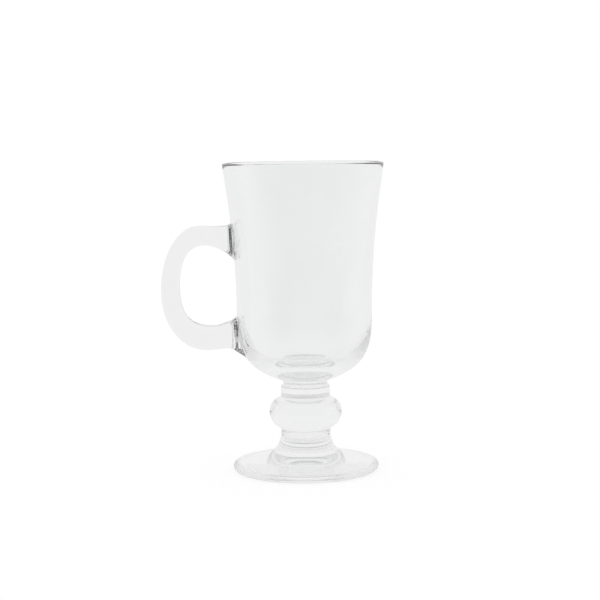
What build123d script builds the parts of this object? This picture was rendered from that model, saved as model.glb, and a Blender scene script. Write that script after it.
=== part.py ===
# Footed glass mug for hot whiskey coffee: bowl, stem beads, foot and loop handle.
# Millimetres, +Z up. The origin is on the bowl's axis, in the plane the foot stands on; the handle is at -X.
import math
import os

from build123d import *

# Overall sizes
mug_height = 146.4
rim_radius = 38.0
handle_reach = 67.6

# Bowl: the lip is fire-polished to a half round, and the wall leans out above the belly
lip_thickness = 1.8
rim_lean = 8.55
upper_wall_pull = 34.0
belly_radius = 32.0
belly_height = 73.7
belly_wall = 1.9
belly_pull_up = 21.6
belly_pull_down = 20.4
underside_angle = 22.0
underside_pull = 14.6
inside_pull_down = 21.0
base_thickness = 8.7
inside_floor_flat = 17.0

# Stem: stacked from the foot up, each piece ending in the seam where the next gather of glass was fused on
foot_seam_height = 16.7
lower_collar_thickness = 3.45
lower_collar_edge = 0.45
lower_collar_swell = 0.4
knop_radius = 17.2
knop_lower_half = 8.0
knop_upper_half = 6.7
knop_bottom_radius = 11.4
upper_collar_thickness = 6.4
upper_collar_flare = 0.6
upper_collar_flare_height = 1.2
upper_collar_shoulder = 1.35
neck_radius = 10.3
neck_fillet = 2.4

# Foot: a flared stem end on a sloping disc, hollowed below so that it stands on a ring
foot_radius = 34.65
foot_seam_ledge = 0.45
foot_flare_steepness = 77.0
foot_flare_radius = 18.65
foot_flare_height = 7.75
foot_flare_pull = 4.2
foot_edge_height = 4.05
foot_edge_width = 1.4
foot_ring_width = 4.1
foot_hollow_depth = 4.2

# Handle: pressed flat on both sides, its outer outline drawn through crown, grip and heel
handle_width = 10.5
handle_edge_round = 2.2
top_root_reach = 36.7
top_root_height = 117.1
outer_crown_reach = 49.85
outer_crown_height = 117.0
outer_crown_pull = 9.8
outer_grip_height = 86.0
outer_grip_pull_up = 17.2
outer_grip_pull_down = 15.5
outer_heel_reach = 45.8
outer_heel_height = 58.3
outer_heel_pull = 12.8
low_root_reach = 35.3
low_root_height = 59.1

# Handle's inner outline: set in from the outer one by the arm's thickness at each place
top_root_thickness = 12.5
crown_thickness = 8.95
inner_crown_reach = 46.5
inner_crown_pull = 10.4
grip_thickness = 8.6
inner_grip_height = 88.1
inner_grip_pull_up = 8.1
inner_grip_pull_down = 11.1
heel_thickness = 11.2
inner_heel_reach = 43.2
inner_heel_pull = 13.0
low_root_thickness = 12.6

# Handle roots: the arm spreads on all sides as it meets the wall, and ends inside it before it is cut back
root_bend = 1.0
root_side_spread = 2.2
root_side_run = 4.0
top_root_outer_slope = 0.12
top_root_outer_spread = 0.45
top_root_inner_slope = 0.55
top_root_inner_spread = 0.45
low_root_outer_slope = 0.0
low_root_outer_spread = 0.7
low_root_inner_slope = 0.35
low_root_inner_spread = 0.45
top_root_overlap = 4.0
low_root_overlap = 7.0
root_steps = 8
arm_steps = 4
loop_steps = 7

os.makedirs("parts", exist_ok=True)

knop_bottom_height = foot_seam_height + lower_collar_thickness
knop_middle_height = knop_bottom_height + knop_lower_half
knop_top_height = knop_middle_height + knop_upper_half
neck_height = knop_top_height + upper_collar_thickness
inside_floor_height = neck_height + base_thickness
upper_collar_radius = neck_radius + upper_collar_shoulder
knop_top_radius = upper_collar_radius + upper_collar_flare
lower_collar_radius = knop_bottom_radius + lower_collar_swell

lean = math.radians(rim_lean)
lip_outer = (rim_radius, mug_height - lip_thickness / 2 * (1 + math.sin(lean)))
lip_inner = (lip_outer[0] - lip_thickness * math.cos(lean), lip_outer[1] + lip_thickness * math.sin(lean))
below = math.radians(underside_angle)
neck_end = (
    neck_radius + neck_fillet * (1 - math.sin(below)),
    neck_height + neck_fillet * math.cos(below),
)


def down_the_wall(start, length):
    """A point the given length down the leaning upper wall from start."""
    return (start[0] - length * math.sin(lean), start[1] - length * math.cos(lean))


def outside_wall():
    """Adds the bowl's outside, from the lip down to the neck, to the line being drawn."""
    Bezier(
        lip_outer,
        down_the_wall(lip_outer, upper_wall_pull),
        (belly_radius, belly_height + belly_pull_up),
        (belly_radius, belly_height),
    )
    Bezier(
        (belly_radius, belly_height),
        (belly_radius, belly_height - belly_pull_down),
        (neck_end[0] + underside_pull * math.cos(below), neck_end[1] + underside_pull * math.sin(below)),
        neck_end,
    )
    TangentArc((neck_radius, neck_height), neck_end, tangent=(0, 1))


# Bowl: one turned profile, with the inside open at the top
inside_radius = belly_radius - belly_wall
with BuildPart() as bowl:
    with BuildSketch(Plane.XZ):
        with BuildLine():
            outside_wall()
            TangentArc(lip_outer, lip_inner, tangent=(math.sin(lean), math.cos(lean)))
            Bezier(
                lip_inner,
                down_the_wall(lip_inner, upper_wall_pull),
                (inside_radius, belly_height + belly_pull_up),
                (inside_radius, belly_height),
            )
            Bezier(
                (inside_radius, belly_height),
                (inside_radius, belly_height - inside_pull_down),
                (inside_floor_flat, inside_floor_height),
                (0, inside_floor_height),
            )
            Line((0, inside_floor_height), (0, neck_height))
            Line((0, neck_height), (neck_radius, neck_height))
        make_face()
    revolve(axis=Axis.Z)

# Upper collar: the flat bead under the bowl, which runs out softly onto the knop
with BuildPart() as upper_collar:
    with BuildSketch(Plane.XZ):
        with BuildLine():
            shoulder_end = (upper_collar_radius, neck_height - upper_collar_shoulder)
            flare_start = (upper_collar_radius, knop_top_height + upper_collar_flare_height)
            Line((0, knop_top_height), (0, neck_height))
            Line((0, neck_height), (neck_radius, neck_height))
            TangentArc((neck_radius, neck_height), shoulder_end, tangent=(1, 0))
            Line(shoulder_end, flare_start)
            TangentArc(flare_start, (knop_top_radius, knop_top_height), tangent=(0, -1))
            Line((knop_top_radius, knop_top_height), (0, knop_top_height))
        make_face()
    revolve(axis=Axis.Z)

# Knop: the large bead, rounder above its middle than below
with BuildPart() as knop:
    with BuildSketch(Plane.XZ):
        with BuildLine():
            Line((0, knop_bottom_height), (0, knop_top_height))
            Line((0, knop_top_height), (knop_top_radius, knop_top_height))
            TangentArc((knop_radius, knop_middle_height), (knop_top_radius, knop_top_height), tangent=(0, 1))
            TangentArc((knop_radius, knop_middle_height), (knop_bottom_radius, knop_bottom_height), tangent=(0, -1))
            Line((knop_bottom_radius, knop_bottom_height), (0, knop_bottom_height))
        make_face()
    revolve(axis=Axis.Z)

# Lower collar: the thin bead between the knop and the foot
with BuildPart() as lower_collar:
    with BuildSketch(Plane.XZ):
        with BuildLine():
            collar_top = knop_bottom_height - lower_collar_edge
            collar_bottom = foot_seam_height + lower_collar_edge
            Line((0, foot_seam_height), (0, knop_bottom_height))
            Line((0, knop_bottom_height), (knop_bottom_radius, knop_bottom_height))
            TangentArc((lower_collar_radius, collar_top), (knop_bottom_radius, knop_bottom_height), tangent=(0, 1))
            Line((lower_collar_radius, collar_top), (lower_collar_radius, collar_bottom))
            TangentArc((lower_collar_radius, collar_bottom), (knop_bottom_radius, foot_seam_height), tangent=(0, -1))
            Line((knop_bottom_radius, foot_seam_height), (0, foot_seam_height))
        make_face()
    revolve(axis=Axis.Z)

# Foot: flared stem end, sloping top, round edge, standing ring and hollow
steep = math.radians(foot_flare_steepness)
flare_top = (knop_bottom_radius + foot_seam_ledge, foot_seam_height - foot_seam_ledge)
flare_end = (foot_flare_radius, foot_flare_height)
edge_top = (foot_radius - foot_edge_width, foot_edge_height)
slope = math.atan2(flare_end[1] - edge_top[1], edge_top[0] - flare_end[0])
edge_turn = (math.pi / 2 + slope) / 2
edge_side = (foot_radius, edge_top[1] - foot_edge_width * math.tan(edge_turn))
ring_outer = (foot_radius - edge_side[1], 0)
ring_inner = (foot_radius - foot_ring_width, 0)
with BuildPart() as foot:
    with BuildSketch(Plane.XZ):
        with BuildLine():
            Line((0, foot_hollow_depth), (0, foot_seam_height))
            Line((0, foot_seam_height), (knop_bottom_radius, foot_seam_height))
            TangentArc((knop_bottom_radius, foot_seam_height), flare_top, tangent=(1, 0))
            Bezier(
                flare_top,
                (flare_top[0] + foot_flare_pull * math.cos(steep), flare_top[1] - foot_flare_pull * math.sin(steep)),
                (flare_end[0] - foot_flare_pull * math.cos(slope), flare_end[1] + foot_flare_pull * math.sin(slope)),
                flare_end,
            )
            Line(flare_end, edge_top)
            TangentArc(edge_top, edge_side, tangent=(math.cos(slope), -math.sin(slope)))
            TangentArc(edge_side, ring_outer, tangent=(0, -1))
            Line(ring_outer, ring_inner)
            TangentArc((0, foot_hollow_depth), ring_inner, tangent=(1, 0))
        make_face()
    revolve(axis=Axis.Z)


def bezier_point(points, t):
    """The point at t, from 0 to 1, of the cubic Bezier with the four given points."""
    weights = ((1 - t) ** 3, 3 * t * (1 - t) ** 2, 3 * t**2 * (1 - t), t**3)
    return tuple(sum(w * p[axis] for w, p in zip(weights, points)) for axis in (0, 1))


def loop_side(top_root, crown, crown_pull, grip, pull_up, pull_down, heel, heel_pull, low_root, top_slope, low_slope):
    """One side of the handle's outline as four Beziers, from its upper root round the grip to its lower root."""
    top_third = (top_root[0] - crown[0]) / 3
    low_third = (low_root[0] - heel[0]) / 3
    return (
        (
            top_root,
            (top_root[0] - top_third, top_root[1] + top_slope * top_third),
            (crown[0] + top_third, crown[1]),
            crown,
        ),
        (crown, (crown[0] - crown_pull, crown[1]), (grip[0], grip[1] + pull_up), grip),
        (grip, (grip[0], grip[1] - pull_down), (heel[0] - heel_pull, heel[1]), heel),
        (
            heel,
            (heel[0] + low_third, heel[1]),
            (low_root[0] - low_third, low_root[1] + low_slope * low_third),
            low_root,
        ),
    )


def root_station(outer, inner, outer_growth, inner_growth, along):
    """The section the given distance past the arm's end, as (outer point, inner point, spread of each side)."""
    up = 1 if outer[1] > inner[1] else -1
    bent = math.hypot(along, root_bend) - root_bend
    side = 1 - math.cos(math.pi / 2 * min(1, along / root_side_run))
    return (
        (outer[0] + along, outer[1] + up * (outer_growth[0] * along + outer_growth[1] * bent)),
        (inner[0] + along, inner[1] - up * (inner_growth[0] * along + inner_growth[1] * bent)),
        root_side_spread * side,
    )


# Handle: one loft through sections round the loop, cut back to the bowl's outside
top_outer = (-top_root_reach, top_root_height)
top_inner = (-top_root_reach, top_root_height - top_root_thickness)
low_outer = (-low_root_reach, low_root_height)
low_inner = (-low_root_reach, low_root_height + low_root_thickness)
top_root_depth = top_root_reach - belly_radius + top_root_overlap
low_root_depth = low_root_reach - belly_radius + low_root_overlap
outer_side = loop_side(
    top_outer,
    (-outer_crown_reach, outer_crown_height),
    outer_crown_pull,
    (-handle_reach, outer_grip_height),
    outer_grip_pull_up,
    outer_grip_pull_down,
    (-outer_heel_reach, outer_heel_height),
    outer_heel_pull,
    low_outer,
    -top_root_outer_slope,
    low_root_outer_slope,
)
inner_side = loop_side(
    top_inner,
    (-inner_crown_reach, outer_crown_height - crown_thickness),
    inner_crown_pull,
    (-(handle_reach - grip_thickness), inner_grip_height),
    inner_grip_pull_up,
    inner_grip_pull_down,
    (-inner_heel_reach, outer_heel_height + heel_thickness),
    inner_heel_pull,
    low_inner,
    top_root_inner_slope,
    -low_root_inner_slope,
)
top_outer_growth = (top_root_outer_slope, top_root_outer_spread)
top_inner_growth = (top_root_inner_slope, top_root_inner_spread)
low_outer_growth = (low_root_outer_slope, low_root_outer_spread)
low_inner_growth = (low_root_inner_slope, low_root_inner_spread)
stations = []
for step in range(root_steps, 0, -1):
    along = top_root_depth * step / root_steps
    stations.append(root_station(top_outer, top_inner, top_outer_growth, top_inner_growth, along))
for outer_part, inner_part, steps in zip(outer_side, inner_side, (arm_steps, loop_steps, loop_steps, arm_steps)):
    for step in range(steps):
        stations.append((bezier_point(outer_part, step / steps), bezier_point(inner_part, step / steps), 0))
for step in range(root_steps + 1):
    along = low_root_depth * step / root_steps
    stations.append(root_station(low_outer, low_inner, low_outer_growth, low_inner_growth, along))

with BuildPart() as handle:
    for outer, inner, spread in stations:
        across = (outer[0] - inner[0], outer[1] - inner[1])
        section_plane = Plane(
            origin=((outer[0] + inner[0]) / 2, 0, (outer[1] + inner[1]) / 2),
            x_dir=(0, 1, 0),
            z_dir=(across[1], 0, -across[0]),
        )
        with BuildSketch(section_plane):
            RectangleRounded(handle_width + 2 * spread, math.hypot(*across), handle_edge_round + spread)
    loft()
    with BuildSketch(Plane.XZ):
        with BuildLine():
            outside_wall()
            Line(lip_outer, (0, lip_outer[1]))
            Line((0, lip_outer[1]), (0, neck_height))
            Line((0, neck_height), (neck_radius, neck_height))
        make_face()
    revolve(axis=Axis.Z, mode=Mode.SUBTRACT)

bowl.part.label = "bowl"
upper_collar.part.label = "upper_collar"
knop.part.label = "knop"
lower_collar.part.label = "lower_collar"
foot.part.label = "foot"
handle.part.label = "handle"

for piece in (bowl, upper_collar, knop, lower_collar, foot, handle):
    export_step(piece.part, f"parts/{piece.part.label}.step")
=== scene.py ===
import math

import bmesh
import bpy
from bpy.props import FloatProperty, FloatVectorProperty, IntProperty, PointerProperty
from mathutils import Matrix, Vector


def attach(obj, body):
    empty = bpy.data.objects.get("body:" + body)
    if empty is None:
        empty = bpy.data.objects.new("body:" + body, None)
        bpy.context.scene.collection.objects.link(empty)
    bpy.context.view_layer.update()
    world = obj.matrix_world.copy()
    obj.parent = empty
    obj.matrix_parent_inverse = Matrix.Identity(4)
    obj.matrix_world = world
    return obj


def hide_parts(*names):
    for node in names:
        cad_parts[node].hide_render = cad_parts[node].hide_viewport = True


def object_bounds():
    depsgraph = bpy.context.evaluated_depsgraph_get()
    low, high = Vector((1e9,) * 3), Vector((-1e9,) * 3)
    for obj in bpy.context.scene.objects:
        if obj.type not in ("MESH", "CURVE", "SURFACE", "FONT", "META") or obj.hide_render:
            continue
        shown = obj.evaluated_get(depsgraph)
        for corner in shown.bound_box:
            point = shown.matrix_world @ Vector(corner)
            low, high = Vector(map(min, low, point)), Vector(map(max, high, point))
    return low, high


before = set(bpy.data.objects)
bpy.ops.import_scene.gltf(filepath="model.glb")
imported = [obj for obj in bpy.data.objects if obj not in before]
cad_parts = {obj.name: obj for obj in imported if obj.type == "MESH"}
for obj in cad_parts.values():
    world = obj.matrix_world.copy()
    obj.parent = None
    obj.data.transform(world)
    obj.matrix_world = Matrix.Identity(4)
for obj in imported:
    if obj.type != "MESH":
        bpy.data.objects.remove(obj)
cad_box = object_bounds()

bl_info = {
    "name": "Irish coffee mug",
    "version": (1, 0, 0),
    "blender": (4, 5, 0),
    "location": "3D View > Sidebar > Mug",
    "description": "Builds a footed glass mug with a loop handle, and the white studio it stands in",
    "category": "Add Mesh",
}

MM = 0.001
SENSOR_WIDTH = 36.0
GLASS_IOR = 1.52
# Typical low and high of a noise pattern, between which it is spread to its full range.
NOISE_LOW, NOISE_HIGH = 0.3, 0.7
# Edges that turn more than this stay sharp.
CREASE_ANGLE = math.radians(40)
# A profile point nearer the axis than this, in metres, is a pole.
ON_AXIS = 1e-7
FEWEST_HANDLE_FACES = 1000


def linear(hex_colour):
    """The linear colour of an sRGB hex value such as F4F8F6."""
    channels = (int(hex_colour[i : i + 2], 16) / 255 for i in (0, 2, 4))
    return tuple(c / 12.92 if c <= 0.04045 else ((c + 0.055) / 1.055) ** 2.4 for c in channels)


def length(name, millimetres, description):
    """A length property whose default is given in millimetres."""
    default = millimetres * MM
    return FloatProperty(name=name, description=description, default=default, unit="LENGTH", precision=5)


def angle(name, degrees, description):
    """An angle property whose default is given in degrees."""
    return FloatProperty(name=name, description=description, default=math.radians(degrees), subtype="ANGLE")


def share(name, value, description):
    """A plain factor without a unit."""
    return FloatProperty(name=name, description=description, default=value)


def colour(name, hex_colour, description):
    """A colour property whose default is an sRGB hex value."""
    default = linear(hex_colour)
    return FloatVectorProperty(name=name, description=description, default=default, subtype="COLOR", size=3)


class MugBowlSizes(bpy.types.PropertyGroup):
    """Sizes of the bowl, from its lip to its neck."""

    rim_radius: length("Rim radius", 38.0, "Outside of the wall just under the lip")
    lip_thickness: length("Lip thickness", 1.8, "Thickness of the wall at the fire-polished lip")
    rim_lean: angle("Rim lean", 8.55, "How far the wall leans out at the rim")
    upper_wall_pull: length("Upper wall pull", 34.0, "How long the wall keeps the rim's lean")
    belly_radius: length("Belly radius", 32.0, "Outside of the wall where it stands upright")
    belly_height: length("Belly height", 73.7, "Height at which the wall stands upright")
    belly_wall: length("Belly wall", 1.9, "Thickness of the wall at the belly")
    belly_pull_up: length("Belly pull up", 21.6, "How long the wall stays upright above the belly")
    belly_pull_down: length("Belly pull down", 20.4, "How long the outside stays upright below the belly")
    inside_pull_down: length("Inside pull down", 21.0, "How long the inside stays upright below the belly")
    underside_angle: angle("Underside angle", 22.0, "Slope of the underside where it runs into the neck")
    underside_pull: length("Underside pull", 14.6, "How long the underside keeps that slope")
    floor_thickness: length("Base thickness", 8.7, "Solid glass between the neck and the floor inside")
    floor_flat: length("Floor flat", 17.0, "How far the floor inside stays flat from the axis")


class MugStemSizes(bpy.types.PropertyGroup):
    """Sizes of the stem's beads and the foot, stacked from the foot up."""

    foot_radius: length("Foot radius", 34.65, "Outside of the foot")
    foot_seam_height: length("Foot height", 16.7, "Height of the seam on top of the foot")
    foot_seam_ledge: length("Foot ledge", 0.45, "Small round at the top of the foot")
    foot_flare_steepness: angle("Flare steepness", 77.0, "Slope at the top of the foot's flare")
    foot_flare_radius: length("Flare radius", 18.65, "Where the flare ends on the sloping top")
    foot_flare_height: length("Flare height", 7.75, "Height at which the flare ends")
    foot_flare_pull: length("Flare pull", 4.2, "How long the flare keeps its end slopes")
    foot_edge_height: length("Edge height", 4.05, "Height at which the sloping top turns into the edge")
    foot_edge_width: length("Edge width", 1.4, "Width over which the top rounds to the edge")
    foot_ring_width: length("Ring width", 4.1, "From the foot's edge in to the hollow underneath")
    foot_hollow_depth: length("Hollow depth", 4.2, "Depth of the hollow under the foot")
    lower_collar_thickness: length("Lower collar", 3.45, "Height of the thin bead on the foot")
    lower_collar_edge: length("Lower collar round", 0.45, "Round on the thin bead's edges")
    lower_collar_swell: length("Lower collar swell", 0.4, "How far the thin bead stands out")
    knop_radius: length("Knop radius", 17.2, "Outside of the large bead")
    knop_lower_half: length("Knop lower half", 8.0, "Height of the large bead below its middle")
    knop_upper_half: length("Knop upper half", 6.7, "Height of the large bead above its middle")
    knop_bottom_radius: length("Knop bottom radius", 11.4, "Crease under the large bead")
    upper_collar_thickness: length("Upper collar", 6.4, "Height of the flat bead under the bowl")
    upper_collar_flare: length("Upper collar flare", 0.6, "How far the flat bead runs out on the large one")
    upper_collar_flare_height: length("Upper collar flare height", 1.2, "Height at which that flare begins")
    upper_collar_shoulder: length("Upper collar shoulder", 1.35, "Round on the flat bead's upper edge")
    neck_radius: length("Neck radius", 10.3, "Crease under the bowl")
    neck_fillet: length("Neck fillet", 2.4, "Round between the neck and the bowl's underside")


class MugHandleSizes(bpy.types.PropertyGroup):
    """Sizes of the loop handle and the roots that join it to the wall."""

    reach: length("Reach", 67.6, "From the bowl's axis to the outside of the grip")
    width: length("Width", 10.5, "From one flat side to the other")
    edge_round: length("Edge round", 2.2, "Round on the four long edges")
    top_root_reach: length("Top root reach", 36.7, "Where the upper arm begins to spread")
    top_root_height: length("Top root height", 117.1, "Top of the upper arm at its root")
    top_root_thickness: length("Top root thickness", 12.5, "Height of the upper arm at its root")
    crown_reach: length("Crown reach", 49.85, "Place of the loop's highest point")
    crown_height: length("Crown height", 117.0, "Height of the loop's highest point")
    crown_pull: length("Crown pull", 9.8, "How long the outside stays level past the crown")
    crown_thickness: length("Crown thickness", 8.95, "Thickness of the upper arm")
    inner_crown_reach: length("Inner crown reach", 46.5, "Place of the finger gap's highest point")
    inner_crown_pull: length("Inner crown pull", 10.4, "How long the finger gap stays level there")
    grip_height: length("Grip height", 86.0, "Height at which the outside of the grip is upright")
    grip_pull_up: length("Grip pull up", 17.2, "How long the grip stays upright above that")
    grip_pull_down: length("Grip pull down", 15.5, "How long the grip stays upright below that")
    grip_thickness: length("Grip thickness", 8.6, "Thickness of the grip")
    inner_grip_height: length("Inner grip height", 88.1, "Height at which the finger gap is widest")
    inner_grip_pull_up: length("Inner grip pull up", 8.1, "How long the gap stays upright above that")
    inner_grip_pull_down: length("Inner grip pull down", 11.1, "How long the gap stays upright below that")
    heel_reach: length("Heel reach", 45.8, "Place of the loop's lowest point")
    heel_height: length("Heel height", 58.3, "Height of the loop's lowest point")
    heel_pull: length("Heel pull", 12.8, "How long the outside stays level before the heel")
    heel_thickness: length("Heel thickness", 11.2, "Thickness of the lower arm")
    inner_heel_reach: length("Inner heel reach", 43.2, "Place of the finger gap's lowest point")
    inner_heel_pull: length("Inner heel pull", 13.0, "How long the finger gap stays level there")
    low_root_reach: length("Low root reach", 35.3, "Where the lower arm begins to spread")
    low_root_height: length("Low root height", 59.1, "Underside of the lower arm at its root")
    low_root_thickness: length("Low root thickness", 12.6, "Height of the lower arm at its root")
    root_bend: length("Root bend", 1.0, "How softly the roots begin to spread")
    root_side_spread: length("Root side spread", 2.2, "How far each flat side spreads")
    root_side_run: length("Root side run", 4.0, "Length over which the flat sides spread")
    top_outer_slope: share("Top outer slope", 0.12, "Slope of the upper arm's top at its root")
    top_outer_spread: share("Top outer spread", 0.45, "Further slope its root bends to")
    top_inner_slope: share("Top inner slope", 0.55, "Slope of the upper arm's underside at its root")
    top_inner_spread: share("Top inner spread", 0.45, "Further slope its root bends to")
    low_outer_slope: share("Low outer slope", 0.0, "Slope of the lower arm's underside at its root")
    low_outer_spread: share("Low outer spread", 0.7, "Further slope its root bends to")
    low_inner_slope: share("Low inner slope", 0.35, "Slope of the lower arm's top at its root")
    low_inner_spread: share("Low inner spread", 0.45, "Further slope its root bends to")
    top_overlap: length("Top overlap", 4.0, "How far inside the belly's radius the upper root is drawn")
    low_overlap: length("Low overlap", 7.0, "How far inside the belly's radius the lower root is drawn")


class MugFinish(bpy.types.PropertyGroup):
    """Mesh fineness and the look of the glass."""

    turns: IntProperty(name="Turns", description="Faces round each turned piece", default=240, min=24)
    seam_depth: length("Seam depth", 0.05, "How deep the handle's roots sink into the wall")
    seed_size: length("Seed size", 0.6, "Spacing of the fine seeds left in a fused seam")
    stem_veil: share("Stem veil", 0.012, "Share of light that a seam of the stem takes")
    root_veil: share("Root veil", 0.08, "Share of light that a seam of a handle root takes")
    veil_spread: share("Veil spread", 0.3, "How far the veil thins and thickens from seed to seed")
    tint: colour("Tint", "FAFBFB", "Colour that the thickest glass gives to what is seen through it")
    clear: colour("Clear", "FFFFFF", "Colour of the clearest glass")
    ripple: length("Ripple", 14.0, "Distance between the soft waves left in the wall")
    grain: length("Grain", 3.5, "Distance between the mould marks on the pressed pieces")
    relief: length("Relief", 0.001, "Height of the waves and mould marks")


class MugStudio(bpy.types.PropertyGroup):
    """The white studio the mug stands in."""

    paper: colour("Paper", "F4F4F3", "Colour of the white floor")
    surround: share("Surround", 0.9, "Level of the pale walls that the glass and the floor are lit by")
    front: share("Front", 0.55, "Level of the room behind the camera, which only reflections show")
    front_edge: share("Front edge", 0.9, "Where it has faded into the walls, from -1 in front to 1 behind")
    floor_to_camera: share("Floor to camera", 0.8, "Share of plain white in the floor that the camera sees")
    floor_to_glass: share("Floor to glass", 0.8, "Share of plain pale grey in the floor that the glass shows")
    floor_white: share("Floor white", 1.06, "Level of that white, which makes up for the paper's own grey")
    floor_grey: share("Floor grey", 0.925, "Level of that grey, which takes the floor close to the walls")
    # Painted shade: the span over which the floor's level, in reflections only, is painted down toward the
    # camera.
    dim_start: length("Dim start", 50.0, "Behind the mug, where the floor in reflections begins to dim")
    dim_end: length("Dim end", 500.0, "In front of the mug, where it is as dim as the room behind the camera")
    floor_radius: FloatProperty(name="Floor radius", description="Half the floor", default=3.0, unit="LENGTH")
    floor_drop: length("Floor drop", 0.02, "Gap that keeps the floor clear of the foot")
    light_bounces: IntProperty(name="Light bounces", description="Longest path of light", default=64)
    camera_height: length("Camera height", 162.6, "Height of the lens above the floor")
    camera_distance: length("Camera distance", 756.2, "From the bowl's axis to the lens")
    camera_side: length("Camera side", -2.03, "Lens sideways from the bowl's axis")
    camera_pitch: angle("Camera pitch", 6.132, "How far the lens points down")
    camera_roll: angle("Camera roll", -0.698, "Turn about the line of sight")
    camera_lens: FloatProperty(name="Camera lens", description="Focal length in millimetres", default=96.25)


def bezier(points, steps):
    """Points along the cubic Bezier with the four given points, without its first one."""
    made = []
    for step in range(1, steps + 1):
        t = step / steps
        weights = ((1 - t) ** 3, 3 * t * (1 - t) ** 2, 3 * t**2 * (1 - t), t**3)
        made.append(sum((w * Vector(p) for w, p in zip(weights, points)), Vector((0, 0))))
    return made


def tangent_arc(start, tangent, end, steps):
    """Points along the arc that leaves start in the given direction and reaches end, without start."""
    start, tangent, chord = Vector(start), Vector(tangent).normalized(), Vector(end) - Vector(start)
    half_turn = math.atan2(tangent.x * chord.y - tangent.y * chord.x, tangent.dot(chord))
    diameter = chord.length / math.sin(half_turn)
    made = []
    for step in range(1, steps + 1):
        bend = half_turn * step / steps
        along = Vector((
            tangent.x * math.cos(bend) - tangent.y * math.sin(bend),
            tangent.x * math.sin(bend) + tangent.y * math.cos(bend),
        ))
        made.append(start + along * diameter * math.sin(bend))
    return made


def line(start, end, steps):
    """Points along the straight line from start to end, without start."""
    return [Vector(start).lerp(Vector(end), step / steps) for step in range(1, steps + 1)]


def stem_heights(stem):
    """Heights of the seams, from the foot's top to the bowl's neck."""
    foot_top = stem.foot_seam_height
    knop_bottom = foot_top + stem.lower_collar_thickness
    knop_middle = knop_bottom + stem.knop_lower_half
    knop_top = knop_middle + stem.knop_upper_half
    return foot_top, knop_bottom, knop_middle, knop_top, knop_top + stem.upper_collar_thickness


def outside_wall(bowl, stem):
    """The bowl's outside from the neck up to the lip, as (radius, height) points."""
    neck = Vector((stem.neck_radius, stem_heights(stem)[-1]))
    below = bowl.underside_angle
    neck_end = neck + stem.neck_fillet * Vector((1 - math.sin(below), math.cos(below)))
    belly = Vector((bowl.belly_radius, bowl.belly_height))
    lip = lip_corners(bowl)[0]
    up = Vector((math.sin(bowl.rim_lean), math.cos(bowl.rim_lean)))
    fillet_steps, underside_steps, wall_steps = 8, 44, 40
    points = [neck] + tangent_arc(neck, (0, 1), neck_end, fillet_steps)
    underside_hold = neck_end + bowl.underside_pull * Vector((math.cos(below), math.sin(below)))
    belly_holds = belly - Vector((0, bowl.belly_pull_down)), belly + Vector((0, bowl.belly_pull_up))
    points += bezier((neck_end, underside_hold, belly_holds[0], belly), underside_steps)
    points += bezier((belly, belly_holds[1], lip - bowl.upper_wall_pull * up, lip), wall_steps)
    return points


def lip_corners(bowl):
    """Where the lip's half round begins on the outside and ends on the inside."""
    lean = bowl.rim_lean
    top = cad_box[1].z
    outer = Vector((bowl.rim_radius, top - bowl.lip_thickness / 2 * (1 + math.sin(lean))))
    return outer, outer + bowl.lip_thickness * Vector((-math.cos(lean), math.sin(lean)))


def inside_wall(bowl, stem):
    """The bowl's lip and inside, from the outside of the lip to the middle of the floor."""
    outer, inner = lip_corners(bowl)
    up = Vector((math.sin(bowl.rim_lean), math.cos(bowl.rim_lean)))
    belly = Vector((bowl.belly_radius - bowl.belly_wall, bowl.belly_height))
    floor = stem_heights(stem)[-1] + bowl.floor_thickness
    lip_steps, wall_steps, floor_steps = 16, 40, 44
    points = tangent_arc(outer, up, inner, lip_steps)
    belly_hold = belly + Vector((0, bowl.belly_pull_up))
    points += bezier((inner, inner - bowl.upper_wall_pull * up, belly_hold, belly), wall_steps)
    bend = belly - Vector((0, bowl.inside_pull_down))
    points += bezier((belly, bend, (bowl.floor_flat, floor), (0, floor)), floor_steps)
    return points


def upper_collar_profile(stem):
    """The flat bead under the bowl, from the knop's crease to the neck."""
    bottom, top = stem_heights(stem)[3:5]
    radius = stem.neck_radius + stem.upper_collar_shoulder
    side = Vector((radius, bottom + stem.upper_collar_flare_height))
    shoulder = Vector((radius, top - stem.upper_collar_shoulder))
    flare_steps, side_steps, shoulder_steps = 8, 6, 10
    flare = tangent_arc(side, (0, -1), (radius + stem.upper_collar_flare, bottom), flare_steps)
    points = flare[::-1] + [side] + line(side, shoulder, side_steps)
    return points + tangent_arc(shoulder, (0, 1), (stem.neck_radius, top), shoulder_steps)


def knop_profile(stem):
    """The large bead, from the crease under it to the crease above it."""
    _, bottom, middle, top, _ = stem_heights(stem)
    widest = Vector((stem.knop_radius, middle))
    top_radius = stem.neck_radius + stem.upper_collar_shoulder + stem.upper_collar_flare
    half_steps = 28
    lower = tangent_arc(widest, (0, -1), (stem.knop_bottom_radius, bottom), half_steps)
    return lower[::-1] + [widest] + tangent_arc(widest, (0, 1), (top_radius, top), half_steps)


def lower_collar_profile(stem):
    """The thin bead between the foot and the knop."""
    bottom, top = stem_heights(stem)[:2]
    radius = stem.knop_bottom_radius + stem.lower_collar_swell
    low_side = Vector((radius, bottom + stem.lower_collar_edge))
    high_side = Vector((radius, top - stem.lower_collar_edge))
    edge_steps, side_steps = 6, 4
    lower = tangent_arc(low_side, (0, -1), (stem.knop_bottom_radius, bottom), edge_steps)
    upper = tangent_arc(high_side, (0, 1), (stem.knop_bottom_radius, top), edge_steps)
    return lower[::-1] + [low_side] + line(low_side, high_side, side_steps) + upper


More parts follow.
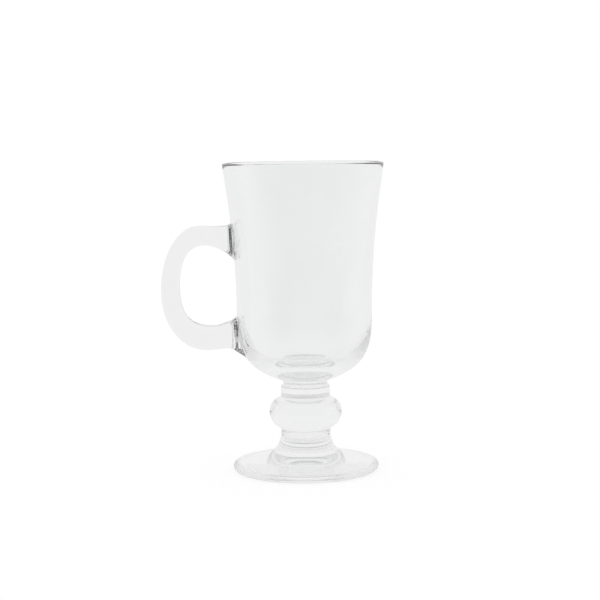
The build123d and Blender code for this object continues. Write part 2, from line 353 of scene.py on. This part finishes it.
def foot_profile(stem):
    """The foot, from the middle of the hollow underneath round its edge to the seam on top."""
    steep = stem.foot_flare_steepness
    top = Vector((stem.knop_bottom_radius, stem_heights(stem)[0]))
    flare_top = top + stem.foot_seam_ledge * Vector((1, -1))
    flare_end = Vector((stem.foot_flare_radius, stem.foot_flare_height))
    edge_top = Vector((stem.foot_radius - stem.foot_edge_width, stem.foot_edge_height))
    down = (edge_top - flare_end).normalized()
    edge_turn = (math.pi / 2 + math.atan2(-down.y, down.x)) / 2
    edge_side = Vector((stem.foot_radius, edge_top.y - stem.foot_edge_width * math.tan(edge_turn)))
    ring_outer = Vector((stem.foot_radius - edge_side.y, 0))
    ring_inner = Vector((stem.foot_radius - stem.foot_ring_width, 0))
    hollow = Vector((0, stem.foot_hollow_depth))
    hollow_steps, ring_steps, lower_edge_steps, upper_edge_steps = 24, 4, 10, 12
    slope_steps, flare_steps, ledge_steps = 16, 20, 6
    points = [hollow] + tangent_arc(hollow, (1, 0), ring_inner, hollow_steps)
    points += line(ring_inner, ring_outer, ring_steps)
    points += tangent_arc(edge_side, (0, -1), ring_outer, lower_edge_steps)[-2::-1] + [edge_side]
    points += tangent_arc(edge_top, down, edge_side, upper_edge_steps)[-2::-1] + [edge_top]
    points += line(edge_top, flare_end, slope_steps)
    steep_down = Vector((math.cos(steep), -math.sin(steep)))
    flare_holds = flare_end - stem.foot_flare_pull * down, flare_top + stem.foot_flare_pull * steep_down
    points += bezier((flare_end, *flare_holds, flare_top), flare_steps)
    return points + tangent_arc(top, (1, 0), flare_top, ledge_steps)[-2::-1] + [top]


def turned_mesh(name, profile, turns):
    """Turns a profile about Z into a closed mesh. An end off the axis is closed by a flat seam face."""
    mesh = bmesh.new()
    rings = []
    turn = 2 * math.pi / turns
    for radius, height in profile:
        if radius < ON_AXIS:
            rings.append([mesh.verts.new((0, 0, height))])
            continue
        rings.append([
            mesh.verts.new((radius * math.cos(i * turn), radius * math.sin(i * turn), height))
            for i in range(turns)
        ])
    for low, high in zip(rings, rings[1:]):
        for i in range(turns):
            j = (i + 1) % turns
            corners = [low[i % len(low)], low[j % len(low)], high[j % len(high)], high[i % len(high)]]
            mesh.faces.new(list(dict.fromkeys(corners)))
    for end in (rings[0], rings[-1]):
        if len(end) > 1:
            mesh.faces.new(end).material_index = 1
    return finished_mesh(name, mesh)


def finished_mesh(name, mesh):
    """Turns a bmesh into mesh data with outward faces, smooth but for its creases and seams."""
    bmesh.ops.recalc_face_normals(mesh, faces=mesh.faces)
    data = bpy.data.meshes.new(name)
    mesh.to_mesh(data)
    mesh.free()
    return smoothed(data)


def smoothed(data):
    """Shades a mesh smooth, with sharp edges at its creases and round its seam faces."""
    data.set_sharp_from_angle(angle=CREASE_ANGLE)
    mesh = bmesh.new()
    mesh.from_mesh(data)
    for edge in mesh.edges:
        if len({face.material_index for face in edge.link_faces}) > 1:
            edge.smooth = False
    for face in mesh.faces:
        face.smooth = face.material_index == 0
    mesh.to_mesh(data)
    mesh.free()
    return data


def rounded_section(width, height, radius, corner_steps, side_steps):
    """A rounded rectangle about the origin as (across, along) points, the same number for any size."""
    points = []
    for quarter in range(4):
        across = (width / 2 - radius) * (1 if quarter in (0, 3) else -1)
        along = (height / 2 - radius) * (1 if quarter in (0, 1) else -1)
        middle = Vector((across, along))
        for step in range(corner_steps + 1):
            turn = (quarter + step / corner_steps) * math.pi / 2
            points.append(middle + radius * Vector((math.cos(turn), math.sin(turn))))
        straight = {0: (-1, 0), 1: (0, -1), 2: (1, 0), 3: (0, 1)}[quarter]
        run = (width if straight[0] else height) - 2 * radius
        points += [points[-1] + Vector(straight) * run * k / side_steps for k in range(1, side_steps)]
    return points


def loop_side(
    top_root, crown, crown_pull, grip, pull_up, pull_down, heel, heel_pull, low_root, top_slope, low_slope
):
    """One side of the handle's outline as four Beziers, from its upper root round to its lower root."""
    top_third = (top_root.x - crown.x) / 3
    low_third = (low_root.x - heel.x) / 3
    return (
        (top_root, top_root + top_third * Vector((-1, top_slope)), crown + Vector((top_third, 0)), crown),
        (crown, crown - Vector((crown_pull, 0)), grip + Vector((0, pull_up)), grip),
        (grip, grip - Vector((0, pull_down)), heel - Vector((heel_pull, 0)), heel),
        (heel, heel + Vector((low_third, 0)), low_root + low_third * Vector((-1, low_slope)), low_root),
    )


def root_section(handle, outer, inner, outer_growth, inner_growth, along):
    """The section the given distance past the arm's end: outer point, inner point and spread of each side."""
    up = 1 if outer.y > inner.y else -1
    bent = math.hypot(along, handle.root_bend) - handle.root_bend
    side = 1 - math.cos(math.pi / 2 * min(1, along / handle.root_side_run))
    return (
        outer + Vector((along, up * (outer_growth[0] * along + outer_growth[1] * bent))),
        inner + Vector((along, -up * (inner_growth[0] * along + inner_growth[1] * bent))),
        handle.root_side_spread * side,
    )


def handle_sections(handle, bowl):
    """Sections from the buried upper root round the loop to the buried lower root."""
    h = handle
    top_outer = Vector((-h.top_root_reach, h.top_root_height))
    top_inner = top_outer - Vector((0, h.top_root_thickness))
    low_outer = Vector((-h.low_root_reach, h.low_root_height))
    low_inner = low_outer + Vector((0, h.low_root_thickness))
    outer_side = loop_side(
        top_outer, Vector((-h.crown_reach, h.crown_height)), h.crown_pull,
        Vector((-h.reach, h.grip_height)), h.grip_pull_up, h.grip_pull_down,
        Vector((-h.heel_reach, h.heel_height)), h.heel_pull, low_outer, -h.top_outer_slope, h.low_outer_slope,
    )
    inner_side = loop_side(
        top_inner, Vector((-h.inner_crown_reach, h.crown_height - h.crown_thickness)), h.inner_crown_pull,
        Vector((h.grip_thickness - h.reach, h.inner_grip_height)),
        h.inner_grip_pull_up, h.inner_grip_pull_down,
        Vector((-h.inner_heel_reach, h.heel_height + h.heel_thickness)), h.inner_heel_pull, low_inner,
        h.top_inner_slope, -h.low_inner_slope,
    )
    top_growth = (h.top_outer_slope, h.top_outer_spread), (h.top_inner_slope, h.top_inner_spread)
    low_growth = (h.low_outer_slope, h.low_outer_spread), (h.low_inner_slope, h.low_inner_spread)
    top_depth = h.top_root_reach - bowl.belly_radius + h.top_overlap
    low_depth = h.low_root_reach - bowl.belly_radius + h.low_overlap
    root_steps, arm_steps, loop_steps = 34, 12, 40
    sections = [
        root_section(h, top_outer, top_inner, *top_growth, top_depth * step / root_steps)
        for step in range(root_steps, 0, -1)
    ]
    sections.append((top_outer, top_inner, 0))
    part_steps = arm_steps, loop_steps, loop_steps, arm_steps
    for outer_part, inner_part, steps in zip(outer_side, inner_side, part_steps):
        sections += [(o, i, 0) for o, i in zip(bezier(outer_part, steps), bezier(inner_part, steps))]
    sections += [
        root_section(h, low_outer, low_inner, *low_growth, low_depth * step / root_steps)
        for step in range(1, root_steps + 1)
    ]
    return sections


def lofted_mesh(name, handle, bowl):
    """The handle before it is cut back to the wall: a closed skin over all its sections."""
    mesh = bmesh.new()
    rings = []
    corner_steps, side_steps = 10, 8
    for outer, inner, spread in handle_sections(handle, bowl):
        across = outer - inner
        middle = (outer + inner) / 2
        width, edge_round = handle.width + 2 * spread, handle.edge_round + spread
        section = rounded_section(width, across.length, edge_round, corner_steps, side_steps)
        outward = across.normalized()
        rings.append([
            mesh.verts.new((middle.x + outward.x * p.y, p.x, middle.y + outward.y * p.y)) for p in section
        ])
    count = len(rings[0])
    for ring, following in zip(rings, rings[1:]):
        for i in range(count):
            j = (i + 1) % count
            mesh.faces.new((ring[i], ring[j], following[j], following[i]))
    mesh.faces.new(rings[0])
    mesh.faces.new(rings[-1])
    return finished_mesh(name, mesh)


def cut(data, cutter):
    """Mesh data with the cutter's inside taken away; the cut faces keep the cutter's materials."""
    piece = bpy.data.objects.new("uncut", data)
    tool = bpy.data.objects.new("cutter", cutter)
    for made in (piece, tool):
        bpy.context.scene.collection.objects.link(made)
    modifier = piece.modifiers.new("Cut", "BOOLEAN")
    modifier.operation = "DIFFERENCE"
    modifier.solver = "EXACT"
    modifier.material_mode = "TRANSFER"
    modifier.object = tool
    bpy.context.view_layer.update()
    result = bpy.data.meshes.new_from_object(piece.evaluated_get(bpy.context.evaluated_depsgraph_get()))
    result.name = data.name
    for made in (piece, tool):
        bpy.data.objects.remove(made)
    return result


def add_node(tree, kind, inputs=None, **settings):
    """Adds a node with its settings. Each input is a value, or the socket of another node to link from."""
    node = tree.nodes.new(kind)
    for name, value in settings.items():
        setattr(node, name, value)
    for name, value in (inputs or {}).items():
        if isinstance(value, bpy.types.NodeSocket):
            tree.links.new(value, node.inputs[name])
        else:
            node.inputs[name].default_value = value
    return node


def empty_material(name):
    """A new node material with nothing but its output."""
    material = bpy.data.materials.new(name)
    material.use_nodes = True
    material.node_tree.nodes.clear()
    return material, add_node(material.node_tree, "ShaderNodeOutputMaterial")


def clear_glass(name, finish, spacing, upright_scale, detail, fineness, smoothest, roughest):
    """Clear soda-lime glass whose tint, polish and skin follow one pattern of the given spacing."""
    material = bpy.data.materials.get(name)
    if material:
        return material
    material, output = empty_material(name)
    tree = material.node_tree
    place = add_node(tree, "ShaderNodeTexCoord").outputs["Object"]
    stretched = add_node(
        tree, "ShaderNodeMapping", {"Vector": place, "Scale": (1, 1, upright_scale)}
    ).outputs["Vector"]
    pattern = add_node(
        tree, "ShaderNodeTexNoise",
        {"Vector": stretched, "Scale": 1 / spacing, "Detail": detail, "Roughness": fineness},
    ).outputs["Fac"]
    shade = add_node(
        tree, "ShaderNodeMix",
        {"Factor": pattern, "A": (*finish.tint, 1), "B": (*finish.clear, 1)}, data_type="RGBA",
    )
    polish = add_node(
        tree, "ShaderNodeMapRange",
        {
            "Value": pattern, "From Min": NOISE_LOW, "From Max": NOISE_HIGH,
            "To Min": smoothest, "To Max": roughest,
        },
    ).outputs["Result"]
    skin = add_node(tree, "ShaderNodeBump", {"Height": pattern, "Strength": 1.0, "Distance": finish.relief})
    glass = add_node(
        tree, "ShaderNodeBsdfPrincipled",
        {
            "Base Color": shade.outputs["Result"], "Roughness": polish, "Normal": skin.outputs["Normal"],
            "IOR": GLASS_IOR, "Transmission Weight": 1.0,
        },
    )
    tree.links.new(glass.outputs["BSDF"], output.inputs["Surface"])
    return material


# Clear soda-lime glass, gathered and fire-polished: the flame leaves the skin glossy with long soft waves,
# so what lies behind is bent a little and the reflections swim along the wall.
def fire_polished_glass(finish):
    return clear_glass(
        "soda_lime_glass_fire_polished", finish, spacing=finish.ripple, upright_scale=0.35,
        detail=1.0, fineness=0.3, smoothest=0.0, roughest=0.012,
    )


# Clear soda-lime glass, pressed hot in an iron mould: the skin keeps a faint pebble from the iron,
# so edges and highlights on the beads, foot and handle are a touch softer than on the bowl.
def pressed_glass(finish):
    return clear_glass(
        "soda_lime_glass_pressed", finish, spacing=finish.grain, upright_scale=1.0,
        detail=2.0, fineness=0.4, smoothest=0.005, roughest=0.03,
    )


# Glass fused hot to glass: no surface is left between the two pieces, only a thin veil of fine seeds,
# so light goes straight on and the eye sees one body of glass with a faint grey line where they met.
def fused_seam(name, veil, finish):
    material = bpy.data.materials.get(name)
    if material:
        return material
    material, output = empty_material(name)
    tree = material.node_tree
    place = add_node(tree, "ShaderNodeTexCoord").outputs["Object"]
    seeds = add_node(
        tree, "ShaderNodeTexNoise", {"Vector": place, "Scale": 1 / finish.seed_size, "Detail": 1.0}
    ).outputs["Fac"]
    left = add_node(
        tree, "ShaderNodeMapRange",
        {
            "Value": seeds, "From Min": NOISE_LOW, "From Max": NOISE_HIGH,
            "To Min": 1 - veil * (1 + finish.veil_spread), "To Max": 1 - veil * (1 - finish.veil_spread),
        },
    ).outputs["Result"]
    clear = add_node(tree, "ShaderNodeBsdfTransparent", {"Color": left})
    tree.links.new(clear.outputs["BSDF"], output.inputs["Surface"])
    return material


def stem_seam(finish):
    return fused_seam("glass_fused_stem_seam", finish.stem_veil, finish)


def root_seam(finish):
    return fused_seam("glass_fused_root_seam", finish.root_veil, finish)


def dress(data, name, node, glass):
    """Makes an object of the mesh, in glass with fused seams, that stands for a CAD node."""
    if not data.materials:
        data.materials.append(glass)
        data.materials.append(stem_seam(bpy.context.scene.mug_finish))
    piece = bpy.data.objects.new(name, data)
    bpy.context.scene.collection.objects.link(piece)
    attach(piece, "root")
    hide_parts(node)
    return piece


class MUG_OT_handle(bpy.types.Operator):
    """Builds the loop handle and cuts its roots to the bowl's wall"""

    bl_idname = "mug.make_handle"
    bl_label = "Handle"

    def execute(self, context):
        bowl, stem, finish = context.scene.mug_bowl, context.scene.mug_stem, context.scene.mug_finish
        sunk = [Vector((p.x - finish.seam_depth, p.y)) for p in outside_wall(bowl, stem)]
        wall = turned_mesh("wall", sunk, finish.turns)
        for face in wall.polygons:
            face.material_index = 1
        loop = lofted_mesh("handle_glass", context.scene.mug_handle, bowl)
        for data in (wall, loop):
            data.materials.append(pressed_glass(finish))
            data.materials.append(root_seam(finish))
        trimmed = cut(loop, wall)
        if len(trimmed.polygons) < FEWEST_HANDLE_FACES:
            raise RuntimeError("the handle was lost when its roots were cut to the wall")
        dress(smoothed(trimmed), "handle_glass", "handle", pressed_glass(finish))
        return {"FINISHED"}


class MUG_OT_bowl(bpy.types.Operator):
    """Turns the bowl and lets the handle's roots into its wall"""

    bl_idname = "mug.make_bowl"
    bl_label = "Bowl"

    def execute(self, context):
        bowl, stem, finish = context.scene.mug_bowl, context.scene.mug_stem, context.scene.mug_finish
        handle = bpy.data.objects.get("handle_glass")
        if handle is None:
            raise RuntimeError("make the handle first: its roots are let into the bowl's wall")
        data = turned_mesh("bowl_glass", outside_wall(bowl, stem) + inside_wall(bowl, stem), finish.turns)
        data.materials.append(fire_polished_glass(finish))
        data.materials.append(stem_seam(finish))
        roots = handle.data.copy()
        roots.materials[0] = fire_polished_glass(finish)
        dress(smoothed(cut(data, roots)), "bowl_glass", "bowl", fire_polished_glass(finish))
        return {"FINISHED"}


class MUG_OT_beads(bpy.types.Operator):
    """Turns the three beads of the stem"""

    bl_idname = "mug.make_beads"
    bl_label = "Stem beads"

    def execute(self, context):
        stem, finish = context.scene.mug_stem, context.scene.mug_finish
        beads = (
            ("upper_collar", upper_collar_profile(stem)),
            ("knop", knop_profile(stem)),
            ("lower_collar", lower_collar_profile(stem)),
        )
        for node, profile in beads:
            name = node + "_glass"
            dress(turned_mesh(name, profile, finish.turns), name, node, pressed_glass(finish))
        return {"FINISHED"}


class MUG_OT_foot(bpy.types.Operator):
    """Turns the foot with its hollow underneath"""

    bl_idname = "mug.make_foot"
    bl_label = "Foot"

    def execute(self, context):
        stem, finish = context.scene.mug_stem, context.scene.mug_finish
        data = turned_mesh("foot_glass", foot_profile(stem), finish.turns)
        dress(data, "foot_glass", "foot", pressed_glass(finish))
        return {"FINISHED"}


class MUG_OT_studio(bpy.types.Operator):
    """Sets up the white floor, the soft light and the camera"""

    bl_idname = "mug.make_studio"
    bl_label = "Studio"

    def execute(self, context):
        scene, studio = context.scene, context.scene.mug_studio
        self.floor(scene, studio)
        self.light(scene, studio)
        self.camera(scene, studio)
        scene.view_settings.view_transform = "Standard"
        # Light that is trapped for longer stays dark, as at the handle's roots and the rim's ends.
        for limit in ("max_bounces", "transmission_bounces", "glossy_bounces", "transparent_max_bounces"):
            setattr(scene.cycles, limit, studio.light_bounces)
        return {"FINISHED"}

    def floor(self, scene, studio):
        mesh = bmesh.new()
        rim_edges = 96
        bmesh.ops.create_circle(mesh, cap_ends=True, segments=rim_edges, radius=studio.floor_radius)
        data = bpy.data.meshes.new("white_floor")
        mesh.to_mesh(data)
        mesh.free()
        data.materials.append(self.matt_paper(studio))
        floor = bpy.data.objects.new("white_floor", data)
        floor.location.z = -studio.floor_drop
        scene.collection.objects.link(floor)

    # White paper, matt from the roll: it has no gloss, so the mug's shadow lies on it softly. To the camera
    # it is nearly plain white. In the glass it is pale grey. In reflections it carries painted shade: its
    # level is painted down toward the camera, to the dim level of the room behind the camera.
    def matt_paper(self, studio):
        material, output = empty_material("white_paper_matt")
        tree = material.node_tree
        rays = add_node(tree, "ShaderNodeLightPath").outputs
        in_glass = add_node(
            tree, "ShaderNodeMath",
            {0: rays["Is Glossy Ray"], 1: rays["Is Transmission Ray"]}, operation="MAXIMUM",
        ).outputs[0]
        for_glass = add_node(
            tree, "ShaderNodeMath", {0: in_glass, 1: studio.floor_to_glass}, operation="MULTIPLY"
        ).outputs[0]
        plain_share = add_node(
            tree, "ShaderNodeMath",
            {0: rays["Is Camera Ray"], 1: studio.floor_to_camera, 2: for_glass}, operation="MULTIPLY_ADD",
        ).outputs[0]
        place = add_node(tree, "ShaderNodeTexCoord").outputs["Object"]
        along = add_node(tree, "ShaderNodeSeparateXYZ", {"Vector": place}).outputs["Y"]
        # Painted shade: in reflections the floor's level is painted from pale grey behind the mug down to the
        # room's dim level in front of it.
        dim = add_node(
            tree, "ShaderNodeMapRange",
            {
                "Value": along, "From Min": -studio.dim_end, "From Max": studio.dim_start,
                "To Min": studio.front, "To Max": studio.floor_grey,
            },
            interpolation_type="SMOOTHSTEP",
        ).outputs["Result"]
        mirrored = add_node(
            tree, "ShaderNodeMath", {0: rays["Glossy Depth"], 1: 1.0}, operation="MINIMUM"
        ).outputs[0]
        grey = add_node(
            tree, "ShaderNodeMix", {"Factor": mirrored, "A": studio.floor_grey, "B": dim}, data_type="FLOAT"
        ).outputs["Result"]
        level = add_node(
            tree, "ShaderNodeMix",
            {"Factor": rays["Is Camera Ray"], "A": grey, "B": studio.floor_white}, data_type="FLOAT",
        ).outputs["Result"]
        paper = add_node(tree, "ShaderNodeBsdfDiffuse", {"Color": (*studio.paper, 1)})
        plain = add_node(tree, "ShaderNodeEmission", {"Color": (1, 1, 1, 1), "Strength": level})
        both = add_node(
            tree, "ShaderNodeMixShader", {"Fac": plain_share, 1: paper.outputs[0], 2: plain.outputs[0]}
        )
        tree.links.new(both.outputs[0], output.inputs["Surface"])
        return material

    # The walls are evenly pale. Only light that was reflected shows the dimmer room behind the camera.
    def light(self, scene, studio):
        world = bpy.data.worlds.new("white_studio")
        world.use_nodes = True
        scene.world = world
        tree = world.node_tree
        tree.nodes.clear()
        output = add_node(tree, "ShaderNodeOutputWorld")
        rays = add_node(tree, "ShaderNodeLightPath").outputs
        toward = add_node(tree, "ShaderNodeTexCoord").outputs["Generated"]
        parts = add_node(tree, "ShaderNodeSeparateXYZ", {"Vector": toward}).outputs
        room = add_node(
            tree, "ShaderNodeMapRange",
            {
                "Value": parts["Y"], "From Min": -1, "From Max": studio.front_edge,
                "To Min": studio.front, "To Max": studio.surround,
            },
            interpolation_type="SMOOTHSTEP",
        ).outputs["Result"]
        mirrored = add_node(
            tree, "ShaderNodeMath", {0: rays["Glossy Depth"], 1: 1.0}, operation="MINIMUM"
        ).outputs[0]
        seen = add_node(
            tree, "ShaderNodeMix", {"Factor": mirrored, "A": studio.surround, "B": room}, data_type="FLOAT"
        ).outputs["Result"]
        level = add_node(
            tree, "ShaderNodeMix", {"Factor": rays["Is Camera Ray"], "A": seen, "B": 1.0}, data_type="FLOAT"
        ).outputs["Result"]
        sky = add_node(tree, "ShaderNodeBackground", {"Color": (1, 1, 1, 1), "Strength": level})
        tree.links.new(sky.outputs["Background"], output.inputs["Surface"])

    def camera(self, scene, studio):
        lens = bpy.data.cameras.new("camera")
        lens.sensor_fit = "HORIZONTAL"
        lens.sensor_width = SENSOR_WIDTH
        lens.lens = studio.camera_lens
        camera = bpy.data.objects.new("camera", lens)
        aim = Matrix.Rotation(math.pi / 2 - studio.camera_pitch, 4, "X")
        place = Vector((studio.camera_side, -studio.camera_distance, studio.camera_height))
        camera.matrix_world = Matrix.Translation(place) @ aim @ Matrix.Rotation(studio.camera_roll, 4, "Z")
        scene.collection.objects.link(camera)
        scene.camera = camera


class MUG_PT_panel(bpy.types.Panel):
    """Lists the steps that build the mug"""

    bl_label = "Irish coffee mug"
    bl_idname = "MUG_PT_panel"
    bl_space_type = "VIEW_3D"
    bl_region_type = "UI"
    bl_category = "Mug"

    def draw(self, context):
        for step in STEPS:
            self.layout.operator(step.bl_idname)


STEPS = (MUG_OT_handle, MUG_OT_bowl, MUG_OT_beads, MUG_OT_foot, MUG_OT_studio)
GROUPS = {
    "mug_bowl": MugBowlSizes,
    "mug_stem": MugStemSizes,
    "mug_handle": MugHandleSizes,
    "mug_finish": MugFinish,
    "mug_studio": MugStudio,
}


def register():
    for name, group in GROUPS.items():
        bpy.utils.register_class(group)
        setattr(bpy.types.Scene, name, PointerProperty(type=group))
    for made in (*STEPS, MUG_PT_panel):
        bpy.utils.register_class(made)


def unregister():
    for made in (MUG_PT_panel, *reversed(STEPS)):
        bpy.utils.unregister_class(made)
    for name, group in reversed(GROUPS.items()):
        delattr(bpy.types.Scene, name)
        bpy.utils.unregister_class(group)


def main():
    register()
    for step in STEPS:
        group, name = step.bl_idname.split(".")
        getattr(getattr(bpy.ops, group), name)()


if __name__ == "__main__":
    main()
